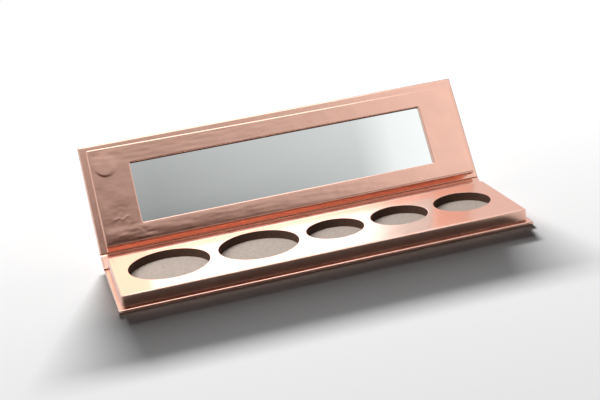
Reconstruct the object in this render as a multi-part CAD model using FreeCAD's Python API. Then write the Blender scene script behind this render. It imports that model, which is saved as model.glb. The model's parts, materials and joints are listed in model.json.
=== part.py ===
"""Empty eyeshadow palette: a book-style case of paper-wrapped greyboard with a tray of wells and a mirror.

Millimetres, +Z up, +X along the palette, -Y towards the person who opens it.
The origin is the middle of the base board's underside, where the palette lies on a table.
Every piece of the spine and the lid is drawn with the case laid out flat, then folded up to the rest pose.
"""
import FreeCAD, Part
import os

Vector = FreeCAD.Vector

# Wells for standard round pans
large_pan = 36.5
small_pan = 26.3
pan_clearance = 0.25
large_wells = 2
small_wells = 3
well_gap = 4.45
well_end_margin = 6.9
well_front_margin = 8.8
well_back_margin = 4.4

# Tray of laminated board, and the base board's margin around it
tray_floor = 1.5
tray_core = 2.0
tray_top = 2.0
tray_edge_round = 0.6
tray_corner_round = 1.0
tray_side_margin = 2.0
tray_front_margin = 2.0
tray_back_margin = 0.8

# Case boards and the paper that covers them
board_thickness = 1.5
paper = 0.15
turn_in = 12.0
edge_round = 0.35
lining_inset = 1.5

# Folds between base, spine and lid
crease_gap = 2.4
crease_clearance = 0.35
closing_gap = 0.5
spine_angle = 22.0
lid_angle = 36.5

# Mirror and the frame that holds it, and the lid board's margin around the frame
frame_end_margin = 2.4
frame_edge_margin = 4.0
frame_fold_margin = 2.2
frame_shift = 0.8
frame_end_border = 19.2
frame_long_border = 8.4
frame_board = 1.2
frame_edge_round = 0.5
skirt_clearance = 0.3
window_corner_round = 0.8
mirror_thickness = 1.0
mirror_overlap = 2.0
mirror_clearance = 0.2
tape_thickness = 0.1

# Closing magnets, set from the frame's outer corners
magnet_diameter = 10.0
magnet_clearance = 0.1
lid_magnet_thickness = 1.3
tray_magnet_thickness = 1.5
magnet_end_inset = 7.5
magnet_edge_inset = 8.2

# The wells set the tray, the tray sets the boards, and the boards set the mirror frame
large_radius = large_pan / 2 + pan_clearance
small_radius = small_pan / 2 + pan_clearance
well_radii = [large_radius] * large_wells + [small_radius] * small_wells
row_length = 2 * sum(well_radii) + well_gap * (len(well_radii) - 1)
tray_width = row_length + 2 * well_end_margin
tray_depth = well_front_margin + 2 * max(well_radii) + well_back_margin
board_width = tray_width + 2 * tray_side_margin
board_depth = tray_front_margin + tray_depth + tray_back_margin
frame_width = board_width - 2 * frame_end_margin
frame_height = board_depth - frame_edge_margin - frame_fold_margin
frame_skirt = frame_fold_margin - skirt_clearance
window_width = frame_width - 2 * frame_end_border
window_height = frame_height - 2 * frame_long_border

# Levels and lines with the case laid out flat, inside up
board_top = paper + board_thickness
case_thickness = board_top + paper
fold_z = case_thickness / 2
tray_face = case_thickness + tray_floor + tray_core + tray_top + paper
frame_spacer = tape_thickness + mirror_thickness
frame_face = case_thickness + frame_spacer + frame_board + paper
spine_pitch = (tray_face - fold_z) + closing_gap + (frame_face - fold_z)
base_back = board_depth / 2
base_front = -base_back
base_fold_y = base_back + crease_gap / 2
lid_fold_y = base_fold_y + spine_pitch
spine_front = base_fold_y + crease_gap / 2
spine_back = lid_fold_y - crease_gap / 2
lid_front = lid_fold_y + crease_gap / 2
lid_back = lid_front + board_depth
tray_y0 = base_front + tray_front_margin
tray_y1 = base_back - tray_back_margin
well_row_y = tray_y0 + well_front_margin + max(well_radii)
frame_y0 = lid_front + frame_fold_margin
frame_y1 = lid_back - frame_edge_margin
frame_mid_y = (frame_y0 + frame_y1) / 2


def box(x0, x1, y0, y1, z0, z1):
    return Part.makeBox(x1 - x0, y1 - y0, z1 - z0, Vector(x0, y0, z0))


def plate(width, y0, y1, z0, z1, x=0.0):
    """A flat board that is centred on x."""
    return box(x - width / 2, x + width / 2, y0, y1, z0, z1)


def disc(x, y, z0, z1, radius):
    return Part.makeCylinder(radius, z1 - z0, Vector(x, y, z0))


def same(a, b, tolerance=1e-6):
    return abs(a - b) < tolerance


def lies_on(edge, axis, value):
    """True where the whole edge has one value of X, Y or Z."""
    low = getattr(edge.BoundBox, axis + "Min")
    high = getattr(edge.BoundBox, axis + "Max")
    return same(low, value) and same(high, value)


def upright_edges(shape):
    return [e for e in shape.Edges if same(e.BoundBox.ZLength, shape.BoundBox.ZLength)]


def top_edges(shape):
    return [e for e in shape.Edges if lies_on(e, "Z", shape.BoundBox.ZMax)]


def rounded_plate(width, y0, y1, z0, z1, corner, rim=0.0, x=0.0):
    """A board with rounded corners and, where rim is given, a rounded top edge."""
    shape = plate(width, y0, y1, z0, z1, x)
    shape = shape.makeFillet(corner, upright_edges(shape))
    if rim > 0:
        shape = shape.makeFillet(rim, top_edges(shape))
    return shape


def lining_sheet(y0, y1):
    """The sheet of paper that fills the inside between the turned-in flaps."""
    return plate(board_width - 2 * turn_in, y0, y1, board_top, case_thickness)


def wrapped_board(y0, y1, free_edge=None):
    """A greyboard panel, the paper folded over its ends and its free edge, and the lining inside."""
    board = plate(board_width, y0, y1, paper, board_top)
    paper_y0 = y0 - paper if free_edge == "front" else y0
    paper_y1 = y1 + paper if free_edge == "back" else y1
    paper_width = board_width + 2 * paper
    skin = plate(paper_width, paper_y0, paper_y1, 0, case_thickness)
    folded_sides = [("X", -paper_width / 2), ("X", paper_width / 2)]
    if free_edge == "front":
        folded_sides.append(("Y", paper_y0))
    if free_edge == "back":
        folded_sides.append(("Y", paper_y1))
    level = [e for e in skin.Edges if lies_on(e, "Z", 0) or lies_on(e, "Z", case_thickness)]
    folds = [e for e in level if any(lies_on(e, axis, value) for axis, value in folded_sides)]
    skin = skin.makeFillet(edge_round, folds)
    open_y0 = y0 + turn_in if free_edge == "front" else y0
    open_y1 = y1 - turn_in if free_edge == "back" else y1
    lining = lining_sheet(open_y0, open_y1)
    return board, skin.cut(board).cut(lining), lining


def crease(y):
    """The two papers pressed together along a fold, as a bead on the fold's line."""
    radius = crease_gap / 2 - crease_clearance
    return Part.makeCylinder(radius, board_width, Vector(-board_width / 2, y, fold_z), Vector(1, 0, 0))


def well_row():
    """Centre and radius of every well, from left to right."""
    row = []
    x = -row_length / 2
    for radius in well_radii:
        row.append((x + radius, radius))
        x += 2 * radius + well_gap
    return row


def pierce_wells(shape):
    for x, radius in well_row():
        shape = shape.cut(disc(x, well_row_y, case_thickness + tray_floor, tray_face + paper, radius))
    return shape


def magnet_places():
    """Middle of each lid magnet on the flat lid, left one first."""
    reach = frame_width / 2 - magnet_end_inset
    y = frame_y1 - magnet_edge_inset
    return [("left", frame_shift - reach, y), ("right", frame_shift + reach, y)]


def facing_y(lid_y):
    """The place on the base that a point of the lid closes onto."""
    return base_fold_y - (lid_y - lid_fold_y)


def fold_up(shape, y, angle):
    turned = shape.copy()
    turned.rotate(Vector(0, y, fold_z), Vector(1, 0, 0), angle)
    return turned


def base_pieces():
    board, wrap, lining = wrapped_board(base_front, base_back, free_edge="front")
    pieces = {"base_board": board, "base_wrap": wrap, "base_lining": lining}
    pieces["rear_crease"] = crease(base_fold_y)
    return pieces


def tray_pieces():
    board_corner = tray_corner_round - paper
    board_width_x = tray_width - 2 * paper
    y0 = tray_y0 + paper
    y1 = tray_y1 - paper
    floor_top = case_thickness + tray_floor
    core_top = floor_top + tray_core
    top_top = core_top + tray_top
    floor = rounded_plate(board_width_x, y0, y1, case_thickness, floor_top, board_corner)
    core = rounded_plate(board_width_x, y0, y1, floor_top, core_top, board_corner)
    top = rounded_plate(board_width_x, y0, y1, core_top, top_top, board_corner, tray_edge_round - paper)
    wrap = rounded_plate(
        tray_width, tray_y0, tray_y1, case_thickness, tray_face, tray_corner_round, tray_edge_round
    )
    wrap = wrap.cut(floor.fuse([core, top]).removeSplitter())
    pieces = {"tray_floor_board": floor}
    pieces["tray_core_board"] = pierce_wells(core)
    pieces["tray_wrap"] = pierce_wells(wrap)
    top = pierce_wells(top)
    for side, x, lid_y in magnet_places():
        y = facing_y(lid_y)
        bed = top_top - tray_magnet_thickness
        top = top.cut(disc(x, y, bed, top_top, magnet_diameter / 2 + magnet_clearance))
        pieces[side + "_tray_magnet"] = disc(x, y, bed, top_top, magnet_diameter / 2)
    pieces["tray_top_board"] = top
    return pieces


def spine_pieces():
    board, wrap, pressed_in = wrapped_board(spine_front, spine_back)
    lining_width = board_width - 2 * lining_inset
    lining = plate(lining_width, spine_front, spine_back, case_thickness, case_thickness + paper)
    lining = lining.fuse(pressed_in).removeSplitter()
    pieces = {"spine_board": board, "spine_wrap": wrap, "spine_lining": lining}
    pieces["lid_crease"] = crease(lid_fold_y)
    return pieces


def mirror_plate(grow, z0, z1):
    """A plate of the mirror's outline, which reaches under the frame all round, or a larger one."""
    reach = mirror_overlap + grow
    half = window_height / 2 + reach
    return plate(window_width + 2 * reach, frame_mid_y - half, frame_mid_y + half, z0, z1, frame_shift)


def mirror_pieces():
    tape_top = case_thickness + tape_thickness
    tape = mirror_plate(0, case_thickness, tape_top)
    glass = mirror_plate(0, tape_top, tape_top + mirror_thickness)
    return {"mirror_tape": tape, "mirror_glass": glass}


def window(grow, z0, z1):
    """The opening in front of the mirror, or a larger one around it."""
    half = window_height / 2 + grow
    width = window_width + 2 * grow
    corner = window_corner_round + grow
    return rounded_plate(width, frame_mid_y - half, frame_mid_y + half, z0, z1, corner, x=frame_shift)


def paper_skirt():
    """The frame's paper where it slopes down to the lid beside the fold, as a wedge along the frame."""
    x = frame_shift - frame_width / 2 + frame_edge_round
    toe = Vector(x, frame_y0 - frame_skirt, case_thickness)
    top = Vector(x, frame_y0, case_thickness + frame_skirt)
    heel = Vector(x, frame_y0, case_thickness)
    section = Part.Face(Part.makePolygon([toe, top, heel, toe]))
    return section.extrude(Vector(frame_width - 2 * frame_edge_round, 0, 0))


def frame_pieces():
    inner_width = frame_width - 2 * paper
    y0 = frame_y0 + paper
    y1 = frame_y1 - paper
    spacer_top = case_thickness + frame_spacer
    board_face = spacer_top + frame_board
    core = frame_edge_round - paper
    spacer = rounded_plate(inner_width, y0, y1, case_thickness, spacer_top, core, x=frame_shift)
    board = rounded_plate(inner_width, y0, y1, spacer_top, board_face, core, core, frame_shift)
    outer = frame_edge_round
    wrap = rounded_plate(
        frame_width, frame_y0, frame_y1, case_thickness, frame_face, outer, outer, frame_shift
    )
    wrap = wrap.fuse(paper_skirt()).removeSplitter()
    wrap = wrap.cut(spacer.fuse(board).removeSplitter())
    wrap = wrap.fuse(window(paper, spacer_top, board_face))
    board = board.cut(window(paper, spacer_top, board_face))
    spacer = spacer.cut(mirror_plate(mirror_clearance, case_thickness, spacer_top))
    proud = lid_magnet_thickness - frame_board
    pieces = {}
    for side, x, y in magnet_places():
        seat = disc(x, y, spacer_top, board_face, magnet_diameter / 2 + magnet_clearance)
        board = board.cut(seat)
        magnet = disc(x, y, spacer_top, spacer_top + lid_magnet_thickness, magnet_diameter / 2)
        if proud > 0:
            bump = disc(x, y, board_face, frame_face + proud, magnet_diameter / 2 + paper)
            bump = bump.makeFillet(min(proud, paper), top_edges(bump))
            wrap = wrap.fuse(bump)
        wrap = wrap.cut(magnet)
        pieces[side + "_lid_magnet"] = magnet
    wrap = wrap.cut(window(0, spacer_top, frame_face + paper)).removeSplitter()
    pieces.update({"mirror_spacer_board": spacer, "mirror_frame_board": board, "mirror_frame_wrap": wrap})
    return pieces


def lid_pieces():
    board, wrap, lining = wrapped_board(lid_front, lid_back, free_edge="back")
    pieces = {"lid_board": board, "lid_wrap": wrap, "lid_lining": lining}
    pieces.update(mirror_pieces())
    pieces.update(frame_pieces())
    return pieces


def assemble():
    pieces = base_pieces()
    pieces.update(tray_pieces())
    for name, shape in spine_pieces().items():
        pieces[name] = fold_up(shape, base_fold_y, spine_angle)
    for name, shape in lid_pieces().items():
        pieces[name] = fold_up(fold_up(shape, lid_fold_y, lid_angle), base_fold_y, spine_angle)
    return pieces


os.makedirs("parts", exist_ok=True)
for name, shape in assemble().items():
    shape.exportStep("parts/" + name + ".step")
    state = "valid" if shape.isValid() else "INVALID"
    print(name, len(shape.Solids), "solid", round(shape.Volume, 3), "mm3", state)
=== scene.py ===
"""Looks of an empty eyeshadow palette: a book-style case of greyboard in metallic rose gold paper.

The sections follow the order in which the palette is put together, then the stage and the camera.
Sizes are written in millimetres, and the case is drawn laid out flat before it is folded up.
"""
import json
import math

import bmesh
import bpy
from mathutils import Matrix, Vector, geometry, noise


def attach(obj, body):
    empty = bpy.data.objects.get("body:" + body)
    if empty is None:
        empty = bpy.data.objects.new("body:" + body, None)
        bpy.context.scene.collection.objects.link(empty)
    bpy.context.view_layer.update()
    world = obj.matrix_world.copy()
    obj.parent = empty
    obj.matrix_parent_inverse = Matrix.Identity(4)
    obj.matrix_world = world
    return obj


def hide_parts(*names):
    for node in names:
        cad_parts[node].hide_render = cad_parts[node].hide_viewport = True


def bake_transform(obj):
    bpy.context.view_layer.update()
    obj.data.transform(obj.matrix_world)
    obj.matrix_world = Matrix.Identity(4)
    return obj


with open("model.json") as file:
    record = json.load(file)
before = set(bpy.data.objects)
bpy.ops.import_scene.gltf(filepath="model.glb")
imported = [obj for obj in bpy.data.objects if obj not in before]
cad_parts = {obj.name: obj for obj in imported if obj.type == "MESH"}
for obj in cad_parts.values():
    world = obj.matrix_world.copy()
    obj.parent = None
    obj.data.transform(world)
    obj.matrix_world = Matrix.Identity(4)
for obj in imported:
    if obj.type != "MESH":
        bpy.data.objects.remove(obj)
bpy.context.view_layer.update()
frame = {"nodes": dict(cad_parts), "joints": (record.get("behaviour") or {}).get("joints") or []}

# Base, spine and lid boards: 1.5 mm recycled greyboard, guillotined to size.
# Pressed pulp gives a matt grey-beige face with darker and lighter flecks of fibre.
# They are glued into the cover paper, so only their cut ends show where paper is missing.
MM = 0.001
COLOUR_MIX = {"data_type": "RGBA"}


def srgb(hex_colour):
    """Linear colour of an sRGB hex value."""
    channels = [int(hex_colour[i:i + 2], 16) / 255 for i in (1, 3, 5)]
    linear = [c / 12.92 if c <= 0.04045 else ((c + 0.055) / 1.055) ** 2.4 for c in channels]
    return (*linear, 1.0)


def add_node(tree, kind, settings=None, inputs=None):
    """Adds a node, sets its own settings, and gives its inputs values or links them to sockets."""
    node = tree.nodes.new(kind)
    for key, value in (settings or {}).items():
        setattr(node, key, value)
    for key, value in (inputs or {}).items():
        if isinstance(value, bpy.types.NodeSocket):
            tree.links.new(value, node.inputs[key])
        else:
            node.inputs[key].default_value = value
    return node


def new_material(name):
    """An empty material with its output node, and the object coordinates that its patterns read."""
    material = bpy.data.materials.new(name)
    material.use_nodes = True
    tree = material.node_tree
    tree.nodes.clear()
    output = add_node(tree, "ShaderNodeOutputMaterial")
    place = add_node(tree, "ShaderNodeTexCoord").outputs["Object"]
    return material, tree, output, place


def per_mm(size):
    """Texture scale that gives one pattern cell for each stretch of this many millimetres."""
    return 1 / (size * MM)


def board_material(name, pale, dark, fleck, plies=1.0):
    """Pressed fibre board: soft mottling, short fibre flecks and a fuzzy matt face; plies flatten them."""
    material, tree, output, place = new_material(name)
    laid = add_node(tree, "ShaderNodeMapping", inputs={"Vector": place, "Scale": (1, 1, plies)})
    laid = laid.outputs["Vector"]
    mottle = add_node(tree, "ShaderNodeTexNoise",
                      inputs={"Vector": laid, "Scale": per_mm(1.5), "Detail": 4.0, "Roughness": 0.65})
    fibre = add_node(tree, "ShaderNodeTexNoise",
                     inputs={"Vector": laid, "Scale": per_mm(0.55), "Detail": 3.0, "Roughness": 0.7})
    tone = add_node(tree, "ShaderNodeMapRange",
                    inputs={"Value": mottle.outputs["Fac"], "From Min": 0.34, "From Max": 0.66})
    body = add_node(tree, "ShaderNodeMix", COLOUR_MIX,
                    {"Factor": tone.outputs["Result"], 6: srgb(dark), 7: srgb(pale)})
    speck = add_node(tree, "ShaderNodeMapRange",
                     inputs={"Value": fibre.outputs["Fac"], "From Min": 0.6, "From Max": 0.74,
                             "To Max": 0.75})
    flecked = add_node(tree, "ShaderNodeMix", COLOUR_MIX,
                       {"Factor": speck.outputs["Result"], 6: body.outputs[2], 7: srgb(fleck)})
    fuzz = add_node(tree, "ShaderNodeBump",
                    inputs={"Strength": 0.5, "Distance": 0.06 * MM, "Height": fibre.outputs["Fac"]})
    shader = add_node(tree, "ShaderNodeBsdfPrincipled",
                      inputs={"Base Color": flecked.outputs[2], "Roughness": 0.92,
                              "Normal": fuzz.outputs["Normal"]})
    shader.inputs["Specular IOR Level"].default_value = 0.25
    tree.links.new(shader.outputs["BSDF"], output.inputs["Surface"])
    return material


def dress(node, material):
    """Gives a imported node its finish."""
    slots = frame["nodes"][node].data.materials
    slots.clear()
    slots.append(material)


greyboard = board_material("greyboard", "#DACBC0", "#C8B8AC", "#A39387")
for node in ("base_board", "spine_board", "lid_board"):
    dress(node, greyboard)

# Cover paper: rose gold metallised paper, satin, one sheet glued round all three boards.
# It is folded over the board edges, mitred at the corners and turned in 12 mm on the inside.
# The fine tooth of the paper shows as a soft, slightly uneven sheen; along the folds it is paler, partly worn
# and partly a painted highlight on the rolled edges.
PAPER = 0.15
CASE = 1.8
EDGE_ROUND = 0.75
# Paper this close to an edge is marked paler: wear, and a painted highlight on the rolled edge.
WORN_AND_HIGHLIGHT_EDGE = EDGE_ROUND * 0.8
TURN_IN, NEAR_EDGE = 12.0, 1.2
FLAT_ROWS = (TURN_IN, 5.0, NEAR_EDGE)
CORNER_ROUND, CORNER_LEAST = 0.5, 0.04
CORNER_POCKET = 0.55
POCKET_LEVEL, POCKET_REACH = CASE * 0.55, CASE * 0.3
COVER_HALF = 95.15


def paper_material(name, pale, deep, worn_and_highlight_colour, smooth, rough):
    """Metallised paper under a thin clear film; a mesh attribute marks its folds, paler there as wear and as
    a painted highlight.
    """
    material, tree, output, place = new_material(name)
    # The tooth is drawn coarser than the real one, so that it shows at the camera's distance.
    tooth = add_node(tree, "ShaderNodeTexNoise",
                     inputs={"Vector": place, "Scale": per_mm(0.7), "Detail": 3.0, "Roughness": 0.6})
    cloud = add_node(tree, "ShaderNodeTexNoise",
                     inputs={"Vector": place, "Scale": per_mm(9.0), "Detail": 3.0, "Roughness": 0.55})
    body = add_node(tree, "ShaderNodeMix", COLOUR_MIX,
                    {"Factor": cloud.outputs["Fac"], 6: srgb(deep), 7: srgb(pale)})
    # The marked folds mix patchily towards the paler colour: worn paper and a painted highlight.
    wear_and_highlight = add_node(tree, "ShaderNodeAttribute", {"attribute_name": "wear_and_highlight"})
    patchy = add_node(tree, "ShaderNodeTexNoise",
                      inputs={"Vector": place, "Scale": per_mm(1.6), "Detail": 4.0, "Roughness": 0.7})
    wear_and_highlight_share = add_node(tree, "ShaderNodeMapRange",
                    inputs={"Value": patchy.outputs["Fac"], "From Min": 0.42, "From Max": 0.68,
                            "To Max": 0.55})
    wear_and_highlight_share = add_node(tree, "ShaderNodeMath", {"operation": "MULTIPLY"},
                    {0: wear_and_highlight.outputs["Fac"], 1: wear_and_highlight_share.outputs["Result"]})
    worn_and_highlighted = add_node(tree, "ShaderNodeMix", COLOUR_MIX,
                    {"Factor": wear_and_highlight_share.outputs["Value"], 6: body.outputs[2], 7: srgb(worn_and_highlight_colour)})
    satin = add_node(tree, "ShaderNodeMapRange",
                     inputs={"Value": cloud.outputs["Fac"], "From Min": 0.3, "From Max": 0.7,
                             "To Min": smooth, "To Max": rough})
    wavy = add_node(tree, "ShaderNodeBump",
                    inputs={"Strength": 1.0, "Distance": 0.05 * MM, "Height": cloud.outputs["Fac"]})
    relief = add_node(tree, "ShaderNodeBump",
                      inputs={"Strength": 0.35, "Distance": 0.012 * MM, "Height": tooth.outputs["Fac"],
                              "Normal": wavy.outputs["Normal"]})
    shader = add_node(tree, "ShaderNodeBsdfPrincipled",
                      inputs={"Base Color": worn_and_highlighted.outputs[2], "Metallic": 1.0,
                              "Roughness": satin.outputs["Result"], "Normal": relief.outputs["Normal"],
                              "Coat Weight": 1.0, "Coat Roughness": 0.22, "Coat IOR": 1.55})
    tree.links.new(shader.outputs["BSDF"], output.inputs["Surface"])
    return material


# The third colour is the paler one of the folds: worn paper and a painted highlight.
rose_gold = paper_material("rose_gold_paper", "#F4C2AE", "#F0BAA5", "#F6DCCF", 0.16, 0.22)


def upright(joint):
    """The turn that folds the flat case up about one crease to the pose it rests in."""
    pivot = Vector(joint["pos_m"])
    turn = Matrix.Rotation(math.radians(-joint["range_deg"][0]), 4, "X")
    return Matrix.Translation(pivot) @ turn @ Matrix.Translation(-pivot)


base_fold, lid_fold = frame["joints"]
FLAT = Matrix.Identity(4)
SPINE_UP = upright(base_fold)
LID_UP = upright(lid_fold) @ SPINE_UP


def soften(mesh, angle):
    """Shades a mesh smooth, apart from edges that turn by more than this many degrees."""
    mesh.polygons.foreach_set("use_smooth", [True] * len(mesh.polygons))
    mesh.set_sharp_from_angle(angle=math.radians(angle))


SMOOTH_ANGLE = 40


def make_piece(name, points, faces, material, place=FLAT, wear_and_highlight=None, smooth_angle=SMOOTH_ANGLE):
    """A mesh object from points in millimetres, with its faces turned outwards and its place in its mesh."""
    mesh = bpy.data.meshes.new(name)
    mesh.from_pydata([Vector(p) * MM for p in points], [], faces)
    if wear_and_highlight:
        layer = mesh.attributes.new("wear_and_highlight", "FLOAT", "POINT")
        layer.data.foreach_set("value", wear_and_highlight)
    shape = bmesh.new()
    shape.from_mesh(mesh)
    bmesh.ops.recalc_face_normals(shape, faces=shape.faces)
    shape.to_mesh(mesh)
    shape.free()
    mesh.transform(place)
    soften(mesh, smooth_angle)
    mesh.materials.append(material)
    piece = bpy.data.objects.new(name, mesh)
    bpy.context.scene.collection.objects.link(piece)
    return piece


def finish_piece(piece, body, slot, *nodes):
    """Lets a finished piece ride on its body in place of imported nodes."""
    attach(piece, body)
    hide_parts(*nodes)


def loft(rows, closed):
    """Points and quads between rows of equal length; closed rows run all the way round."""
    count = len(rows[0])
    points = [p for row in rows for p in row]
    faces = []
    for i in range(len(rows) - 1):
        for j in range(count if closed else count - 1):
            k = (j + 1) % count
            faces.append((i * count + j, i * count + k, (i + 1) * count + k, (i + 1) * count + j))
    return points, faces


def ring_faces(rows_count, count):
    """Quads that join the last row of a lofted ring to its first one."""
    last = (rows_count - 1) * count
    return [(last + j, last + (j + 1) % count, (j + 1) % count, j) for j in range(count)]


def end_caps(rows_count, count):
    """Quads that close both ends of a lofted band whose rows run out along one side and back on the other."""
    faces = []
    for end in (0, rows_count - 1):
        for j in range(count // 2 - 1):
            a = end * count + j
            b = end * count + count - 1 - j
            faces.append((a, a + 1, b - 1, b))
    return faces


def spread(a, b, steps):
    """Even steps from one value to another, both included."""
    return [a + (b - a) * i / steps for i in range(steps + 1)]


def corner_arc(x, y, radius, start, steps):
    """Points of a quarter turn about a corner's centre, counter-clockwise from the start angle."""
    turn = [math.radians(start + 90 * i / steps) for i in range(steps + 1)]
    return [(x + radius * math.cos(a), y + radius * math.sin(a)) for a in turn]


ROLL_STEPS, GIRTH_STEPS = 5, 6


def edge_roll(radius, top, bottom):
    """Inset and level of paper that rolls from a top face over an edge to the face below."""
    roll = []
    for i in range(ROLL_STEPS + 1):
        a = math.pi / 2 * i / ROLL_STEPS
        roll.append((radius * (1 - math.sin(a)), top - radius * (1 - math.cos(a))))
    lower = [(inset, bottom + top - level) for inset, level in reversed(roll)]
    return roll, lower


def cover_shell(y_fold, y_free):
    """Points, faces and pale-edge marks (wear and painted highlight) of the paper folded over a board's two
    ends and its free edge.
    """
    side = 1 if y_free > y_fold else -1
    upper, lower = edge_roll(EDGE_ROUND, CASE, 0.0)
    girth = spread(upper[-1][1], lower[0][1], GIRTH_STEPS)[1:-1]
    outline = [(inset, CASE) for inset in FLAT_ROWS] + upper
    outline += [(0.0, level) for level in girth] + lower
    outline += [(inset, 0.0) for inset in reversed(FLAT_ROWS)]
    inner = []
    for inset, level in outline:
        inset = max(inset, PAPER)
        inner.append((inset, min(max(level, PAPER), CASE - PAPER)))
    rows, wear_and_highlight = [], []
    for line in (outline, inner):
        for inset, level in line:
            radius = max(CORNER_ROUND - inset, CORNER_LEAST)
            pocket = 0.0
            if inset < EDGE_ROUND:
                pocket = CORNER_POCKET * max(0.0, 1 - abs(level - POCKET_LEVEL) / POCKET_REACH)
            row = cover_row(y_fold, y_free, side, inset, radius, pocket)
            rows.append([(x, y, level) for x, y in row])
            wear_and_highlight.extend([1.0 if inset < WORN_AND_HIGHLIGHT_EDGE else 0.0] * len(row))
    count = len(rows[0])
    half = len(outline)
    points, faces = loft(rows, closed=False)
    last_outer, first_inner = half - 1, half
    faces = [f for f in faces if not (last_outer * count <= f[0] < first_inner * count)]
    faces.append(tuple(range(last_outer * count, half * count)))
    faces.append(tuple(range((2 * half - 1) * count, 2 * half * count)))
    for j in range(count - 1):
        faces.append((j, j + 1, half * count + j + 1, half * count + j))
    for end in (0, count - 1):
        for i in range(half - 1):
            a, b = i * count + end, (i + 1) * count + end
            faces.append((a, b, b + half * count, a + half * count))
    low_outer, low_inner = last_outer * count, (2 * half - 1) * count
    faces.append((low_outer, low_outer + count - 1, low_inner + count - 1, low_inner))
    return points, faces, wear_and_highlight


COVER_SIDE, COVER_LONG, CORNER_STEPS = 24, 80, 6


def cover_row(y_fold, y_free, side, inset, radius, pocket):
    """A line of paper that runs along one end of a board, its free edge and its other end."""
    x = COVER_HALF - inset
    y = y_free - side * inset
    turn_y = y - side * radius
    row = [(-x, v) for v in spread(y_fold, turn_y, COVER_SIDE)[:-1]]
    bend = []
    for i in range(CORNER_STEPS + 1):
        a = math.pi / 2 * i / CORNER_STEPS
        pinch = pocket * math.sin(2 * a) ** 2
        reach = radius - pinch
        bend.append((reach * math.cos(a), reach * math.sin(a)))
    row += [(-(x - radius) - u, turn_y + side * v) for u, v in bend]
    row += [(v, y) for v in spread(-(x - radius), x - radius, COVER_LONG)[1:-1]]
    row += [(x - radius + u, turn_y + side * v) for u, v in reversed(bend)]
    row += [(x, v) for v in spread(turn_y, y_fold, COVER_SIDE)[1:]]
    return row


BASE_FRONT, BASE_BACK = -26.65, 26.5
points, faces, wear_and_highlight = cover_shell(BASE_BACK, BASE_FRONT)
base_cover = make_piece("base_cover", points, faces, rose_gold, FLAT, wear_and_highlight)
finish_piece(base_cover, "base", "rose_gold_paper", "base_wrap")

SPINE_FRONT, SPINE_BACK = 28.9, 36.9
SPINE_FLAT = 90.0
SPINE_LONG, SPINE_ROWS = 30, 6
upper, lower = edge_roll(EDGE_ROUND, CASE, 0.0)
wrapped = [(TURN_IN, CASE), (NEAR_EDGE, CASE)] + upper + lower
left_end = [(-COVER_HALF + inset, level) for inset, level in wrapped]
outside = left_end + [(v, 0.0) for v in spread(-SPINE_FLAT, SPINE_FLAT, SPINE_LONG)]
outside += [(-x, level) for x, level in reversed(left_end)]
inside = []
for x, level in outside:
    x = max(-COVER_HALF + PAPER, min(COVER_HALF - PAPER, x))
    inside.append((x, min(max(level, PAPER), CASE - PAPER)))
profile = outside + list(reversed(inside))
rows = [[(x, y, level) for x, level in profile] for y in spread(SPINE_FRONT, SPINE_BACK, SPINE_ROWS)]
points, faces = loft(rows, closed=True)
faces += end_caps(len(rows), len(profile))
# Paper at the spine's ends is marked paler: wear, and a painted highlight on the rolled ends.
wear_and_highlight = [1.0 if abs(x) > COVER_HALF - WORN_AND_HIGHLIGHT_EDGE else 0.0 for x, y, level in points]
spine_cover = make_piece("spine_cover", points, faces, rose_gold, SPINE_UP, wear_and_highlight)
finish_piece(spine_cover, "spine", "rose_gold_paper", "spine_wrap")

LID_FRONT, LID_BACK = 39.3, 92.45
points, faces, wear_and_highlight = cover_shell(LID_FRONT, LID_BACK)
lid_cover = make_piece("lid_cover", points, faces, rose_gold, LID_UP, wear_and_highlight)
finish_piece(lid_cover, "lid", "rose_gold_paper", "lid_wrap")

# Folds: the cover paper between the boards, with the lining pressed against it from inside.
# The two papers bend as one along a crease, sunk between the board edges; inside the lid they bulge a little.
# They are glued to the boards on either side; each strip is drawn in its resting shape and left unattached to
# any body.
CREASE = 2.4
OUTER_SINK = 0.3
FOLD_STEPS, FOLD_ROWS = 30, 60
FOLD_END = 0.1


def smooth_step(low, high, value):
    """Eased share from 0 at the low mark to 1 at the high one, which may lie on either side of it."""
    t = max(0.0, min(1.0, (value - low) / (high - low)))
    return t * t * (3 - 2 * t)


def fold_strip(name, middle, joint, place, node, inner_sink, bend):
    """The strip of paper across one crease, bent between two shares of its width to the angle it rests at."""
    half = CREASE / 2
    across = spread(-half, half, FOLD_STEPS)
    outer = [(v, OUTER_SINK * math.cos(math.pi * v / CREASE) ** 2) for v in across]
    inner = [(v, CASE - inner_sink * math.cos(math.pi * v / CREASE) ** 2) for v in reversed(across)]
    angle = math.radians(-joint["range_deg"][0])
    section = []
    for v, level in outer + inner:
        t = (v + half) / CREASE
        turn = angle * smooth_step(*bend, t)
        h = level - CASE / 2
        section.append((middle + v * math.cos(turn) - h * math.sin(turn),
                        CASE / 2 + v * math.sin(turn) + h * math.cos(turn)))
    end_x = COVER_HALF - FOLD_END
    rows = [[(x, y, level) for y, level in section] for x in spread(-end_x, end_x, FOLD_ROWS)]
    points, faces = loft(rows, closed=True)
    faces += end_caps(len(rows), len(section))
    strip = make_piece(name, points, faces, rose_gold, place, smooth_angle=30)
    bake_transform(strip)
    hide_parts(node)


BASE_FOLD_Y, LID_FOLD_Y = 27.7, 38.1
fold_strip("base_fold_paper", BASE_FOLD_Y, base_fold, FLAT, "rear_crease",
           inner_sink=0.75, bend=(0.0, 1.0))
fold_strip("lid_fold_paper", LID_FOLD_Y, lid_fold, SPINE_UP, "lid_crease",
           inner_sink=-0.1, bend=(0.86, 0.98))

# Linings: sheets of the same rose gold paper that finish the inside of base, spine and lid.
# They are glued flat over the turned-in edges of the cover.
for node in ("base_lining", "spine_lining", "lid_lining"):
    dress(node, rose_gold)

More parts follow.
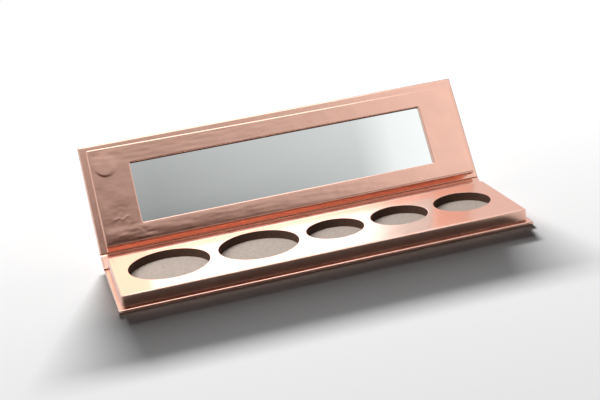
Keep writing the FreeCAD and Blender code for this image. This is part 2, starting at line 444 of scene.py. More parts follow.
# Tray boards: two layers of brown solid board, punched with the row of wells and glued on a floor.
# The punch leaves slightly fibrous walls, in a brown darkened past the board's own as painted shade in the
# wells; the pale greyboard floor shows at the bottom.
# One tree of nodes does the punching: an outline and a circle for each well, filled and thickened.
TRAY_FRONT, TRAY_BACK = -24.5, 25.7
TRAY_HALF = 93.0
TRAY_FACE = 7.45
BOARD_CORNER = 0.85
CORE_BOTTOM, CORE_THICKNESS = 3.3, 2.0
PUNCH_SIDES, PUNCH_SLACK = 144, 0.06
WELL_ROW = 2.8
WELLS = ((-67.6, 18.5), (-26.15, 18.5), (10.2, 13.4), (41.45, 13.4), (72.7, 13.4))
# Its dark brown is partly the board's own colour and partly painted shade on the well walls.
brown_board = board_material("brown_solid_board_painted_shade", "#5E493E", "#4B382F", "#75604F", plies=6.0)
dress("tray_floor_board", greyboard)


def punching_tree():
    """Node tree that turns points with a radius into a board punched with round wells."""
    tree = bpy.data.node_groups.new("punched_board", "GeometryNodeTree")
    face = tree.interface
    face.new_socket("Geometry", in_out="OUTPUT", socket_type="NodeSocketGeometry")
    face.new_socket("Geometry", in_out="INPUT", socket_type="NodeSocketGeometry")
    for name in ("Width", "Depth", "Middle", "Corner", "Bottom", "Thickness"):
        face.new_socket(name, in_out="INPUT", socket_type="NodeSocketFloat")
    face.new_socket("Material", in_out="INPUT", socket_type="NodeSocketMaterial")
    given = add_node(tree, "NodeGroupInput").outputs
    outline = add_node(tree, "GeometryNodeCurvePrimitiveQuadrilateral",
                       inputs={"Width": given["Width"], "Height": given["Depth"]})
    rounded = add_node(tree, "GeometryNodeFilletCurve", {"mode": "POLY"},
                       {"Curve": outline.outputs["Curve"], "Radius": given["Corner"], "Count": 6})
    shift = add_node(tree, "ShaderNodeCombineXYZ", inputs={"Y": given["Middle"]})
    placed = add_node(tree, "GeometryNodeTransform",
                      inputs={"Geometry": rounded.outputs["Curve"], "Translation": shift.outputs["Vector"]})
    centres = add_node(tree, "GeometryNodeMeshToPoints", inputs={"Mesh": given["Geometry"]})
    circle = add_node(tree, "GeometryNodeCurvePrimitiveCircle",
                      inputs={"Resolution": PUNCH_SIDES, "Radius": 1.0})
    radius = add_node(tree, "GeometryNodeInputNamedAttribute", {"data_type": "FLOAT"}, {"Name": "punch"})
    size = add_node(tree, "ShaderNodeCombineXYZ",
                    inputs={"X": radius.outputs["Attribute"], "Y": radius.outputs["Attribute"], "Z": 1.0})
    punches = add_node(tree, "GeometryNodeInstanceOnPoints",
                       inputs={"Points": centres.outputs["Points"], "Instance": circle.outputs["Curve"],
                               "Scale": size.outputs["Vector"]})
    cuts = add_node(tree, "GeometryNodeRealizeInstances", inputs={"Geometry": punches.outputs["Instances"]})
    lines = add_node(tree, "GeometryNodeJoinGeometry")
    tree.links.new(placed.outputs["Geometry"], lines.inputs["Geometry"])
    tree.links.new(cuts.outputs["Geometry"], lines.inputs["Geometry"])
    sheet = add_node(tree, "GeometryNodeFillCurve", inputs={"Curve": lines.outputs["Geometry"]})
    up = add_node(tree, "ShaderNodeCombineXYZ", inputs={"Z": given["Thickness"]})
    raised = add_node(tree, "GeometryNodeExtrudeMesh",
                      inputs={"Mesh": sheet.outputs["Mesh"], "Offset": up.outputs["Vector"],
                              "Offset Scale": 1.0, "Individual": False})
    under = add_node(tree, "GeometryNodeFlipFaces", inputs={"Mesh": sheet.outputs["Mesh"]})
    both = add_node(tree, "GeometryNodeJoinGeometry")
    tree.links.new(raised.outputs["Mesh"], both.inputs["Geometry"])
    tree.links.new(under.outputs["Mesh"], both.inputs["Geometry"])
    welded = add_node(tree, "GeometryNodeMergeByDistance",
                      inputs={"Geometry": both.outputs["Geometry"], "Distance": 0.001 * MM})
    level = add_node(tree, "ShaderNodeCombineXYZ", inputs={"Z": given["Bottom"]})
    lifted = add_node(tree, "GeometryNodeSetPosition",
                      inputs={"Geometry": welded.outputs["Geometry"], "Offset": level.outputs["Vector"]})
    plain = add_node(tree, "GeometryNodeRealizeInstances", inputs={"Geometry": lifted.outputs["Geometry"]})
    painted = add_node(tree, "GeometryNodeSetMaterial",
                       inputs={"Geometry": plain.outputs["Geometry"], "Material": given["Material"]})
    result = add_node(tree, "NodeGroupOutput")
    tree.links.new(painted.outputs["Geometry"], result.inputs["Geometry"])
    return tree


def grown(name, seed_mesh, tree, values):
    """Runs a node tree on a seed mesh and keeps the result as a plain mesh object."""
    piece = bpy.data.objects.new(name, seed_mesh)
    bpy.context.scene.collection.objects.link(piece)
    modifier = piece.modifiers.new("nodes", "NODES")
    modifier.node_group = tree
    sockets = {s.name: s.identifier for s in tree.interface.items_tree if s.in_out == "INPUT"}
    for key, value in values.items():
        modifier[sockets[key]] = value
    bpy.context.view_layer.update()
    evaluated = piece.evaluated_get(bpy.context.evaluated_depsgraph_get())
    mesh = bpy.data.meshes.new_from_object(evaluated)
    piece.modifiers.clear()
    piece.data = mesh
    mesh.name = name
    soften(mesh, SMOOTH_ANGLE)
    return piece


def well_points(extra):
    """One vertex on each well's centre that carries the radius of its punch."""
    mesh = bpy.data.meshes.new("well_centres")
    mesh.from_pydata([Vector((x, WELL_ROW, 0)) * MM for x, r in WELLS], [], [])
    layer = mesh.attributes.new("punch", "FLOAT", "POINT")
    layer.data.foreach_set("value", [(r + extra) * MM for x, r in WELLS])
    return mesh


punched_board = punching_tree()
board_size = {
    "Width": 2 * (TRAY_HALF - PAPER) * MM,
    "Depth": (TRAY_BACK - TRAY_FRONT - 2 * PAPER) * MM,
    "Middle": (TRAY_BACK + TRAY_FRONT) / 2 * MM,
    "Corner": BOARD_CORNER * MM,
    "Material": brown_board,
}
core_levels = {"Bottom": CORE_BOTTOM * MM, "Thickness": CORE_THICKNESS * MM}
core_board = grown("tray_core", well_points(PUNCH_SLACK), punched_board, board_size | core_levels)
finish_piece(core_board, "base", "brown_board", "tray_core_board")

# Tray paper: the cover paper again, drawn over the boards and down the walls, punched with them.
# The punch rolls the paper's cut edge a little into every well, and the outer rim stands up as a low bead.
# The rim is given by its inset and its rise over the face, a well's lip by its reach and its drop.
RIM = ((1.9, 0.0), (1.5, 0.012), (1.15, 0.05), (0.9, 0.085), (0.7, 0.1), (0.52, 0.09),
       (0.45, 0.05), (0.4, 0.0), (0.1, -0.3), (0.05, -0.36), (0.01, -0.44), (0.0, -0.55))
WALL_LEVELS = (5.2, 3.6, CASE)
# The rolled rim within this reach is paler: wear, and a painted highlight on the rim.
WORN_AND_HIGHLIGHT_RIM, RIM_WEAR_AND_HIGHLIGHT = 0.6, 0.8
TRAY_CORNER, TRAY_CORNER_LEAST = 1.0, 0.3
TRAY_STEPS = (90, 26, 6)
TRAY_PAPER = PAPER * 0.8
WELL_LIP = ((0.4, 0.0), (0.12, 0.0), (0.05, 0.015), (0.015, 0.05), (0.0, 0.13))
LIP_STEPS = 120


def rounded_loop(x0, x1, y0, y1, radius, long_steps, short_steps, bend_steps):
    """Points round a rectangle with rounded corners, from its front left corner."""
    loop = corner_arc(x0 + radius, y0 + radius, radius, 180, bend_steps)
    loop += [(v, y0) for v in spread(x0 + radius, x1 - radius, long_steps)[1:-1]]
    loop += corner_arc(x1 - radius, y0 + radius, radius, 270, bend_steps)
    loop += [(x1, v) for v in spread(y0 + radius, y1 - radius, short_steps)[1:-1]]
    loop += corner_arc(x1 - radius, y1 - radius, radius, 0, bend_steps)
    loop += [(v, y1) for v in spread(x1 - radius, x0 + radius, long_steps)[1:-1]]
    loop += corner_arc(x0 + radius, y1 - radius, radius, 90, bend_steps)
    loop += [(x0, v) for v in spread(y1 - radius, y0 + radius, short_steps)[1:-1]]
    return loop


def tray_skirt(thinner):
    """Rows of the tray's paper from the foot of the wall over the rim to the flat face."""
    face = TRAY_FACE - thinner if thinner else math.inf
    lines = [(max(inset, thinner), min(TRAY_FACE + rise, face)) for inset, rise in RIM]
    lines += [(thinner, level) for level in WALL_LEVELS]
    rows = []
    for inset, level in reversed(lines):
        radius = max(TRAY_CORNER - inset, TRAY_CORNER_LEAST)
        loop = rounded_loop(-TRAY_HALF + inset, TRAY_HALF - inset, TRAY_FRONT + inset, TRAY_BACK - inset,
                            radius, *TRAY_STEPS)
        rows.append([(x, y, level) for x, y in loop])
    return rows


def tray_sheet(thinner):
    """Points, quads and the open loops of one side of the tray's paper."""
    rows = tray_skirt(thinner)
    points, faces = loft(rows, closed=True)
    count = len(rows[0])
    foot = list(range(count))
    rim = list(range(len(points) - count, len(points)))
    mouths, lips = [], []
    for x, radius in WELLS:
        rings = []
        for reach, drop in WELL_LIP:
            reach = radius + max(reach, thinner)
            level = TRAY_FACE - max(drop, thinner)
            turn = [2 * math.pi * j / LIP_STEPS for j in range(LIP_STEPS)]
            rings.append([(x + reach * math.cos(a), WELL_ROW + reach * math.sin(a), level) for a in turn])
        start = len(points)
        lip_points, lip_faces = loft(rings, closed=True)
        points += lip_points
        faces += [tuple(start + i for i in f) for f in lip_faces]
        mouths.append(list(range(start, start + LIP_STEPS)))
        lips.append(list(range(len(points) - LIP_STEPS, len(points))))
    return points, faces, foot, rim, mouths, lips


def tray_paper_mesh():
    """The tray's paper as a thin closed shell, with its flat faces filled between rim and wells."""
    shape = bmesh.new()
    sides = []
    for thinner in (0.0, TRAY_PAPER):
        points, faces, foot, rim, mouths, lips = tray_sheet(thinner)
        verts = [shape.verts.new(Vector(p) * MM) for p in points]
        for f in faces:
            shape.faces.new([verts[i] for i in f])
        borders = []
        for loop in [rim] + mouths:
            for i, a in enumerate(loop):
                pair = (verts[a], verts[loop[(i + 1) % len(loop)]])
                borders.append(shape.edges.get(pair) or shape.edges.new(pair))
        bmesh.ops.triangle_fill(shape, use_beauty=True, edges=borders)
        sides.append([[verts[i] for i in loop] for loop in [foot] + lips])
    for outer, inner in zip(*sides):
        for i in range(len(outer)):
            k = (i + 1) % len(outer)
            shape.faces.new((outer[i], outer[k], inner[k], inner[i]))
    bmesh.ops.recalc_face_normals(shape, faces=shape.faces)
    mesh = bpy.data.meshes.new("tray_paper")
    shape.to_mesh(mesh)
    shape.free()
    return mesh


mesh = tray_paper_mesh()
# Paper on the rolled rim is marked paler: wear, and a painted highlight on the rim.
wear_and_highlight = []
for v in mesh.vertices:
    near_side = min(TRAY_HALF - abs(v.co.x / MM), v.co.y / MM - TRAY_FRONT, TRAY_BACK - v.co.y / MM)
    rolled = near_side < WORN_AND_HIGHLIGHT_RIM and v.co.z / MM > TRAY_FACE - WORN_AND_HIGHLIGHT_RIM
    wear_and_highlight.append(RIM_WEAR_AND_HIGHLIGHT if rolled else 0.0)
mesh.attributes.new("wear_and_highlight", "FLOAT", "POINT").data.foreach_set("value", wear_and_highlight)
soften(mesh, SMOOTH_ANGLE)
mesh.materials.append(rose_gold)
tray_paper = bpy.data.objects.new("tray_paper", mesh)
bpy.context.scene.collection.objects.link(tray_paper)
finish_piece(tray_paper, "base", "rose_gold_paper", "tray_wrap")

# Top board of the tray, under the paper: it holds the two magnets that pull the lid shut.
# The magnets are nickel-plated discs let into the board and covered by the paper.
# This board takes the same brown, darkened as painted shade where its well walls show.
dress("tray_top_board", brown_board)
material, tree, output, place = new_material("nickel_plated_magnet")
scuff = add_node(tree, "ShaderNodeTexNoise", inputs={"Vector": place, "Scale": per_mm(1.2), "Detail": 4.0})
polish = add_node(tree, "ShaderNodeMapRange",
                  inputs={"Value": scuff.outputs["Fac"], "To Min": 0.18, "To Max": 0.36})
shader = add_node(tree, "ShaderNodeBsdfPrincipled",
                  inputs={"Base Color": srgb("#C9C8C6"), "Metallic": 1.0,
                          "Roughness": polish.outputs["Result"]})
tree.links.new(shader.outputs["BSDF"], output.inputs["Surface"])
for node in ("left_tray_magnet", "right_tray_magnet", "left_lid_magnet", "right_lid_magnet"):
    dress(node, material)

# Mirror: 1 mm silvered float glass with seamed edges, laid on double-sided film tape.
# It reaches 2 mm under the frame all round, in a pocket of the spacer board.
MIRROR = (-74.6, 76.2, 47.9, 81.9)
MIRROR_BACK, MIRROR_FACE = 1.9, 2.9
MIRROR_CORNER, MIRROR_STEPS = 0.6, (24, 8, 4)
SEAM = 0.25


def mirror_glass():
    """Points and faces of the glass plate, its edges ground off all round on both sides."""
    x0, x1, y0, y1 = MIRROR
    levels = ((SEAM, MIRROR_BACK), (0.0, MIRROR_BACK + SEAM), (0.0, MIRROR_FACE - SEAM), (SEAM, MIRROR_FACE))
    rows = []
    for inset, level in levels:
        loop = rounded_loop(x0 + inset, x1 - inset, y0 + inset, y1 - inset, MIRROR_CORNER, *MIRROR_STEPS)
        rows.append([(x, y, level) for x, y in loop])
    points, faces = loft(rows, closed=True)
    count = len(rows[0])
    faces.append(tuple(range(count)))
    faces.append(tuple(range(len(points) - count, len(points))))
    return points, faces


material, tree, output, place = new_material("silvered_float_glass")
haze = add_node(tree, "ShaderNodeTexNoise", inputs={"Vector": place, "Scale": per_mm(14.0), "Detail": 2.0})
film = add_node(tree, "ShaderNodeMapRange",
                inputs={"Value": haze.outputs["Fac"], "From Min": 0.3, "From Max": 0.8,
                        "To Min": 0.012, "To Max": 0.035})
shader = add_node(tree, "ShaderNodeBsdfPrincipled",
                  inputs={"Base Color": srgb("#F0F4F3"), "Metallic": 1.0,
                          "Roughness": film.outputs["Result"]})
tree.links.new(shader.outputs["BSDF"], output.inputs["Surface"])
points, faces = mirror_glass()
mirror = make_piece("mirror", points, faces, material, LID_UP, smooth_angle=30)
finish_piece(mirror, "lid", "mirror", "mirror_glass")

material, tree, output, place = new_material("film_tape")
weave = add_node(tree, "ShaderNodeTexNoise", inputs={"Vector": place, "Scale": per_mm(0.8), "Detail": 2.0})
tone = add_node(tree, "ShaderNodeMix", COLOUR_MIX,
                {"Factor": weave.outputs["Fac"], 6: srgb("#E2E0DA"), 7: srgb("#EDEBE6")})
shader = add_node(tree, "ShaderNodeBsdfPrincipled", inputs={"Base Color": tone.outputs[2], "Roughness": 0.5})
tree.links.new(shader.outputs["BSDF"], output.inputs["Surface"])
dress("mirror_tape", material)
for node in ("mirror_spacer_board", "mirror_frame_board"):
    dress(node, greyboard)

# Mirror frame paper: the rose gold paper drawn over the frame board and turned into the window.
# Glued by hand, it ripples and creases, most at the lower left, and slopes down hollow beside the fold.
# The closing magnets under it press through as shallow round bumps.
FRAME_X = (-91.8, 93.4)
FRAME_Y = (41.5, 88.3)
WINDOW_X = (-72.6, 74.2)
WINDOW_Y = (49.9, 79.9)
FRAME_FACE = 4.25
FRAME_ROUND, FRAME_CORNER_LEAST = 0.7, 0.12
# Paler share on the frame's top and side edges: wear, and a painted highlight.
FRAME_WEAR_AND_HIGHLIGHT = 0.7
FRAME_LONG, FRAME_SHORT, FRAME_BEND, FRAME_ROWS = 220, 110, 5, 40
WINDOW_ROLL, WINDOW_CORNER = 0.32, 0.8
WINDOW_FOOT = MIRROR_FACE + 0.01
LEFT_MAGNET, RIGHT_MAGNET = (-84.3, 80.1), (85.9, 80.1)
MAGNET_RADIUS, MAGNET_PROUD = 5.0, 0.09
SNUG_OUT, SNUG_IN = 0.3, 0.7
SLACK_OUT, SLACK_IN = 2.2, 2.3
LOOSE, FAINT = 3.0, 0.4
FACE_SAG, SAG_REACH = 0.12, 7.5
TOP_SKEW = 1.3
SKIRT, SKIRT_HEIGHT, SKIRT_HOLLOW = 2.1, 1.75, 1.8
SKIRT_LEVELS = (CASE, 1.88, 1.98, 2.1, 2.25, 2.4, 2.55, 2.7, 2.85, 3.0, 3.15, 3.3, 3.45)
HELD_RIM, HELD_MOUTH = 0.12, 0.9
PILLOW, WAVE, BUCKLE, CRUMPLE = 0.07, 0.012, 0.03, 0.025
LOW_STREAKS, TOP_STREAKS, STREAKS = 0.03, 0.014, 0.004
PLEAT_WIDTH = 0.5
RIDGE = (0.033, ((-85.0, 53.5), (-82.6, 53.9), (-81.4, 52.9), (-78.9, 54.3)))
GROOVE = (-0.038, ((-73.6, 47.6), (-71.1, 44.6), (-67.3, 44.8)))


def pleat(x, y):
    """Height of the two sharp creases in the frame paper: a ridge, and a groove off the window's corner."""
    here = Vector((x, y))
    height = 0.0
    for peak, path in (RIDGE, GROOVE):
        nearness = 0.0
        for a, b in zip(path, path[1:]):
            share = geometry.intersect_point_line(here, Vector(a), Vector(b))[1]
            near = Vector(a).lerp(Vector(b), max(0.0, min(1.0, share)))
            nearness = max(nearness, math.exp(-((near - here).length / PLEAT_WIDTH) ** 2))
        height += peak * nearness
    return height


def ripple(x, y):
    """Height of the frame paper's ripples: where each kind lies on the lid, its noise, and their sum."""
    low_left = smooth_step(-62, -80, x) * smooth_step(70, 50, y)
    left = smooth_step(-66, -78, x)
    bottom = smooth_step(51, 46, y) * smooth_step(70, 0, x)
    top = smooth_step(78, 83, y) * smooth_step(40, -40, x)
    crease = abs(noise.noise((x / 4.0, y / 3.2, 3.1)) + 0.5 * noise.noise((x / 2.2, y / 1.8, 7.7)))
    streak = noise.noise((x / 9.0, y / 2.0, 1.3)) + 0.4 * noise.noise((x / 4.0, y / 1.3, 9.4))
    wave = noise.noise((x / 7.0, y / 7.0, 5.2))
    border = max(0.0, min(1.0, (y - FRAME_Y[0]) / (WINDOW_Y[0] - FRAME_Y[0])))
    pillow = PILLOW * math.sin(math.pi * border) * smooth_step(60, -20, x)
    height = pillow + WAVE * wave + CRUMPLE * low_left * (0.4 - crease) + BUCKLE * left * wave
    return height + pleat(x, y) + (LOW_STREAKS * bottom + TOP_STREAKS * top + STREAKS) * streak


def sag(y):
    """How far the frame's face droops towards the fold."""
    return FACE_SAG * max(0.0, 1 - (y - FRAME_Y[0]) / SAG_REACH) ** 2


def magnet_bump(x, y):
    """Height of the paper over the closing magnets: tight below the left one, loose elsewhere."""
    left = math.hypot(x - LEFT_MAGNET[0], y - LEFT_MAGNET[1])
    right = math.hypot(x - RIGHT_MAGNET[0], y - RIGHT_MAGNET[1])
    above = smooth_step(-0.9, 0.5, (y - LEFT_MAGNET[1]) / max(left, 0.1))
    foot = MAGNET_RADIUS + SNUG_OUT + SLACK_OUT * above
    crest = MAGNET_RADIUS - SNUG_IN - SLACK_IN * above
    tight = smooth_step(foot, crest, left)
    loose = smooth_step(MAGNET_RADIUS + LOOSE, MAGNET_RADIUS - LOOSE, right)
    return MAGNET_PROUD * (tight + FAINT * loose)


def top_skew(x, y):
    """How far the frame's hand-cut top edge runs out of square, most at the left end."""
    leftwards = (FRAME_X[1] - x) / (FRAME_X[1] - FRAME_X[0])
    upwards = (y - FRAME_Y[0]) / (FRAME_Y[1] - FRAME_Y[0])
    return TOP_SKEW * leftwards ** 2 * upwards


def frame_loop(out, window, radius):
    """A loop this far in from the frame's outline, or a window loop this far out from the opening."""
    if window:
        xs, ys = (WINDOW_X[0] - out, WINDOW_X[1] + out), (WINDOW_Y[0] - out, WINDOW_Y[1] + out)
    else:
        xs, ys = (FRAME_X[0] + out, FRAME_X[1] - out), (FRAME_Y[0] + out, FRAME_Y[1] - out)
    loop = rounded_loop(*xs, *ys, radius, FRAME_LONG, FRAME_SHORT, FRAME_BEND)
    if window:
        return loop
    return [(x, y + top_skew(x, y)) for x, y in loop]


def skirt_reach(y, level):
    """How far the paper stands out from the frame's foot where it slopes down beside the fold."""
    at_fold = smooth_step(FRAME_Y[0] + FRAME_ROUND, FRAME_Y[0], y)
    return at_fold * SKIRT * max(0.0, 1 - (level - CASE) / SKIRT_HEIGHT) ** SKIRT_HOLLOW


def frame_rows():
    """Rows of the frame paper from its foot on the lid over the face into the window, then back inside."""
    rows = []
    for level in SKIRT_LEVELS:
        loop = frame_loop(0.0, False, FRAME_ROUND)
        rows.append([(x, y - skirt_reach(y, level), level) for x, y in loop])
    for inset, level in reversed(edge_roll(FRAME_ROUND, FRAME_FACE, 0.0)[0]):
        loop = frame_loop(inset, False, max(FRAME_ROUND - inset, FRAME_CORNER_LEAST))
        rows.append([(x, y, level - sag(y)) for x, y in loop])
    rim = frame_loop(FRAME_ROUND, False, FRAME_CORNER_LEAST)
    mouth = frame_loop(WINDOW_ROLL, True, WINDOW_CORNER + WINDOW_ROLL)
    for i in range(1, FRAME_ROWS):
        t = i / FRAME_ROWS
        hold = smooth_step(0, HELD_RIM, t) * smooth_step(1, HELD_MOUTH, t)
        row = []
        for (ax, ay), (bx, by) in zip(rim, mouth):
            x, y = ax + (bx - ax) * t, ay + (by - ay) * t
            row.append((x, y, FRAME_FACE - sag(y) + hold * ripple(x, y) + magnet_bump(x, y)))
        rows.append(row)
    for inset, level in edge_roll(WINDOW_ROLL, FRAME_FACE, 0.0)[0]:
        loop = frame_loop(inset, True, WINDOW_CORNER + inset)
        rows.append([(x, y, level - sag(y)) for x, y in loop])
    rows.append([(x, y, WINDOW_FOOT) for x, y in frame_loop(0.0, True, WINDOW_CORNER)])
    board_face = FRAME_FACE - PAPER
    for level in (WINDOW_FOOT, board_face):
        rows.append([(x, y, level) for x, y in frame_loop(PAPER, True, WINDOW_CORNER + PAPER)])
    for level in (board_face, CASE):
        rows.append([(x, y, level) for x, y in frame_loop(PAPER, False, FRAME_ROUND - PAPER)])
    return rows


rows = frame_rows()
points, faces = loft(rows, closed=True)
faces += ring_faces(len(rows), len(rows[0]))
# The top and side edges are marked paler, as wear and painted highlight; the fold-side edge is left out so
# that it stays dark, where shade falls.
wear_and_highlight = []
for x, y, level in points:
    edge = min(x - FRAME_X[0], FRAME_X[1] - x, FRAME_Y[1] + top_skew(x, y) - y)
    folded = edge < FRAME_ROUND * 0.8 and level > FRAME_FACE - FRAME_ROUND
    wear_and_highlight.append(FRAME_WEAR_AND_HIGHLIGHT if folded else 0.0)
frame_paper = make_piece("mirror_frame_paper", points, faces, rose_gold, LID_UP, wear_and_highlight, smooth_angle=50)
finish_piece(frame_paper, "lid", "rose_gold_paper", "mirror_frame_wrap")

# Floor: a wide sheet of matt white studio paper under the palette, with sizes in metres.
# It fades to the white of the backdrop with distance, so that no horizon shows.
FLOOR_REACH = 6.0
FLOOR_DROP = 0.1 * MM
FADE_START, FADE_END = 0.22, 0.6
WHITE = (1, 1, 1, 1)
EASED = {"interpolation_type": "SMOOTHSTEP"}
floor_mesh = bpy.data.meshes.new("floor")
corners = [(-FLOOR_REACH, -FLOOR_REACH), (FLOOR_REACH, -FLOOR_REACH),
           (FLOOR_REACH, FLOOR_REACH), (-FLOOR_REACH, FLOOR_REACH)]
floor_mesh.from_pydata([(x, y, -FLOOR_DROP) for x, y in corners], [], [(0, 1, 2, 3)])
floor = bpy.data.objects.new("floor", floor_mesh)
bpy.context.scene.collection.objects.link(floor)
material, tree, output, place = new_material("matt_white_floor")
shader = add_node(tree, "ShaderNodeBsdfPrincipled",
                  inputs={"Base Color": srgb("#F3F3F3"), "Roughness": 0.9, "Specular IOR Level": 0.0})
glow = add_node(tree, "ShaderNodeEmission", inputs={"Color": WHITE, "Strength": 1.0})
reach = add_node(tree, "ShaderNodeVectorMath", {"operation": "LENGTH"}, {0: place})
far = add_node(tree, "ShaderNodeMapRange", EASED,
               {"Value": reach.outputs["Value"], "From Min": FADE_START, "From Max": FADE_END})
rays = add_node(tree, "ShaderNodeLightPath").outputs
seen = add_node(tree, "ShaderNodeMath", {"operation": "MAXIMUM"},
                {0: rays["Is Camera Ray"], 1: rays["Is Glossy Ray"]})
seen = add_node(tree, "ShaderNodeMath", {"operation": "MAXIMUM"},
                {0: seen.outputs["Value"], 1: rays["Is Transmission Ray"]})
share = add_node(tree, "ShaderNodeMath", {"operation": "MULTIPLY"},
                 {0: far.outputs["Result"], 1: seen.outputs["Value"]})
blend = add_node(tree, "ShaderNodeMixShader",
                 inputs={"Fac": share.outputs["Value"], 1: shader.outputs["BSDF"],
                         2: glow.outputs["Emission"]})
tree.links.new(blend.outputs["Shader"], output.inputs["Surface"])
material.cycles.emission_sampling = "NONE"
floor_mesh.materials.append(material)

# Lamps: a soft box overhead and a fill at the left light the palette and not the floor.
# Behind it, a bright strip lights the floor alone and gives the shadow in front, and a panel lights both.
# Only the soft box overhead is reflected; places and sizes are in metres.
MIDDLE = (0.0, 0.0, 0.0)


def soft_box(name, place, aim, width, height, radiance):
    """A rectangular lamp that faces a point, of this brightness over its whole face."""
    lamp = bpy.data.lights.new(name, "AREA")
    lamp.shape = "RECTANGLE"
    lamp.size, lamp.size_y = width, height
    lamp.energy = radiance * math.pi * width * height
    holder = bpy.data.objects.new(name, lamp)
    holder.location = place
    holder.rotation_euler = (Vector(aim) - Vector(place)).to_track_quat("-Z", "Y").to_euler()
    bpy.context.scene.collection.objects.link(holder)
    return holder


overhead = soft_box("overhead_soft_box", (0.11, 0.0, 1.0), (0.11, 0.0, 0.0),
                    width=0.42, height=0.9, radiance=1.85)
fill = soft_box("top_fill", (-0.4, -0.05, 0.5), MIDDLE, width=0.5, height=0.5, radiance=4.4)
strip = soft_box("back_strip", (0.28, 3.0, 1.06), MIDDLE, width=1.0, height=0.14, radiance=570.0)
panel = soft_box("back_panel", (0.3, 3.0, 1.36), MIDDLE, width=1.4, height=0.42, radiance=25.0)
for lamp in (fill, strip, panel):
    lamp.visible_glossy = False
off_floor = bpy.data.collections.new("kept_off_the_floor")
off_floor.objects.link(floor)
off_floor.collection_objects[0].light_linking.link_state = "EXCLUDE"
overhead.light_linking.receiver_collection = off_floor
fill.light_linking.receiver_collection = off_floor
on_floor = bpy.data.collections.new("floor_alone")
on_floor.objects.link(floor)
strip.light_linking.receiver_collection = on_floor

# Backdrop: the room as paper and mirror reflect it, drawn by the direction that a reflection looks in.
# In front it is dark low down and white higher up and to the right; the sides and the back are bright.
# A warm card stands low at the right of the back, and whatever is dim is warm too.
GREY_BY_HEIGHT = ((0.3, 0.06), (0.5, 0.03), (0.6, 0.03), (0.68, 0.11), (0.71, 0.38), (0.76, 0.6),
                  (0.86, 0.85), (1.0, 1.0))
LIGHT_BY_SIDE = ((0.1, 0.0), (0.17, 0.22), (0.21, 0.33), (0.262, 0.5), (0.29, 0.88), (0.33, 1.0))
SIDES_ABOUT = 0.17
LOW_SIDES, HIGH_SIDES = 0.5, 1.05
LOW_LIGHT, HIGH_LIGHT = 1.12, 1.9
BACK_GREY = 0.88
CARD, DIM = srgb("#FFE9E2"), srgb("#FFC3A8")
AMBIENT = 0.035
NUMBER_MIX = {"data_type": "FLOAT"}
world = bpy.data.worlds.new("studio")
bpy.context.scene.world = world
world.use_nodes = True
tree = world.node_tree
tree.nodes.clear()
output = add_node(tree, "ShaderNodeOutputWorld")
direction = add_node(tree, "ShaderNodeTexCoord").outputs["Generated"]
axes = add_node(tree, "ShaderNodeSeparateXYZ", inputs={"Vector": direction}).outputs
by_height = add_node(tree, "ShaderNodeValToRGB", inputs={"Fac": axes["Z"]})
by_side = add_node(tree, "ShaderNodeValToRGB", inputs={"Fac": axes["X"]})
for ramp, greys in ((by_height, GREY_BY_HEIGHT), (by_side, LIGHT_BY_SIDE)):
    stops = ramp.color_ramp.elements
    for stop, (position, grey) in zip(stops, (greys[0], greys[-1])):
        stop.position, stop.color = position, (grey, grey, grey, 1)
    for position, grey in greys[1:-1]:
        stops.new(position).color = (grey, grey, grey, 1)

# The front: the light at the right starts above the dark part, and the sides begin left and right of both.
above = add_node(tree, "ShaderNodeMapRange", EASED, {"Value": axes["Z"], "From Min": 0.38, "From Max": 0.6})
rightwards = add_node(tree, "ShaderNodeMath", {"operation": "MULTIPLY"},
                      {0: by_side.outputs["Color"], 1: above.outputs["Result"]})
light = add_node(tree, "ShaderNodeMapRange", EASED,
                 {"Value": axes["Z"], "From Min": 0.88, "From Max": 0.96,
                  "To Min": LOW_LIGHT, "To Max": HIGH_LIGHT})
front = add_node(tree, "ShaderNodeMix", NUMBER_MIX,
                 {"Factor": rightwards.outputs["Value"], 2: by_height.outputs["Color"],
                  3: light.outputs["Result"]})
sideways = add_node(tree, "ShaderNodeMath", {"operation": "SUBTRACT"}, {0: axes["X"], 1: SIDES_ABOUT})
sideways = add_node(tree, "ShaderNodeMath", {"operation": "ABSOLUTE"}, {0: sideways.outputs["Value"]})
sideways = add_node(tree, "ShaderNodeMapRange", EASED,
                    {"Value": sideways.outputs["Value"], "From Min": 0.25, "From Max": 0.5})
sides = add_node(tree, "ShaderNodeMapRange",
                 inputs={"Value": axes["Z"], "To Min": LOW_SIDES, "To Max": HIGH_SIDES})
front = add_node(tree, "ShaderNodeMix", NUMBER_MIX,
                 {"Factor": sideways.outputs["Result"], 2: front.outputs[0], 3: sides.outputs["Result"]})
behind = add_node(tree, "ShaderNodeMapRange", EASED,
                  {"Value": axes["Y"], "From Min": -0.5, "From Max": -0.1})
backdrop = add_node(tree, "ShaderNodeMix", NUMBER_MIX,
                    {"Factor": behind.outputs["Result"], 2: front.outputs[0], 3: BACK_GREY})

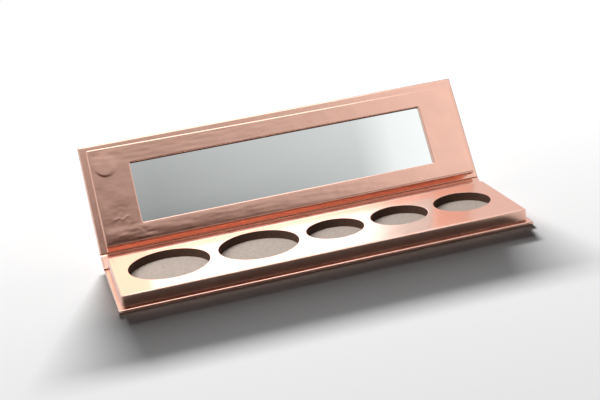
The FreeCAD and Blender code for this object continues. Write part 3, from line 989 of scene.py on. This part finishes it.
# Tints: the card, then the dim parts.
to_card = add_node(tree, "ShaderNodeMapRange", EASED,
                   {"Value": axes["X"], "From Min": 0.2, "From Max": 0.32})
low = add_node(tree, "ShaderNodeMapRange", EASED, {"Value": axes["Z"], "From Min": 0.5, "From Max": 0.4})
to_card = add_node(tree, "ShaderNodeMath", {"operation": "MULTIPLY"},
                   {0: to_card.outputs["Result"], 1: low.outputs["Result"]})
to_card = add_node(tree, "ShaderNodeMath", {"operation": "MULTIPLY"},
                   {0: to_card.outputs["Value"], 1: behind.outputs["Result"]})
tint = add_node(tree, "ShaderNodeMix", COLOUR_MIX, {"Factor": to_card.outputs["Value"], 6: WHITE, 7: CARD})
dim = add_node(tree, "ShaderNodeMapRange", EASED,
               {"Value": backdrop.outputs[0], "From Min": 0.34, "From Max": 0.15})
tint = add_node(tree, "ShaderNodeMix", COLOUR_MIX,
                {"Factor": dim.outputs["Result"], 6: tint.outputs[2], 7: DIM})

# Reflections see the backdrop, the camera sees plain white, and all else gets a little even light.
rays = add_node(tree, "ShaderNodeLightPath").outputs
mirrored = add_node(tree, "ShaderNodeMath", {"operation": "MAXIMUM"},
                    {0: rays["Is Glossy Ray"], 1: rays["Is Transmission Ray"]})
strength = add_node(tree, "ShaderNodeMix", NUMBER_MIX,
                    {"Factor": mirrored.outputs["Value"], 2: AMBIENT, 3: backdrop.outputs[0]})
strength = add_node(tree, "ShaderNodeMix", NUMBER_MIX,
                    {"Factor": rays["Is Camera Ray"], 2: strength.outputs[0], 3: 1.0})
tint = add_node(tree, "ShaderNodeMix", COLOUR_MIX,
                {"Factor": rays["Is Camera Ray"], 6: tint.outputs[2], 7: WHITE})
shader = add_node(tree, "ShaderNodeBackground",
                  inputs={"Color": tint.outputs[2], "Strength": strength.outputs[0]})
tree.links.new(shader.outputs["Background"], output.inputs["Surface"])

bpy.context.scene.view_settings.view_transform = "Standard"

# Camera at the photograph's viewing angle, turned a little on its own axis.
RIGHT = Vector((0.95767, -0.25921, -0.12521))
DOWN = Vector((-0.19637, -0.27017, -0.94257))
FORWARD = Vector((0.2105, 0.92726, -0.30964))
STAND = Vector((-0.12251, -0.51718, 0.19791))
lens = bpy.data.cameras.new("camera")
lens.sensor_width = 36.0
lens.lens = 74.36
lens.clip_start = 0.01
camera = bpy.data.objects.new("camera", lens)
turned = Matrix((RIGHT, -DOWN, -FORWARD)).transposed()
camera.matrix_world = Matrix.Translation(STAND) @ turned.to_4x4()
bpy.context.scene.collection.objects.link(camera)
bpy.context.scene.camera = camera
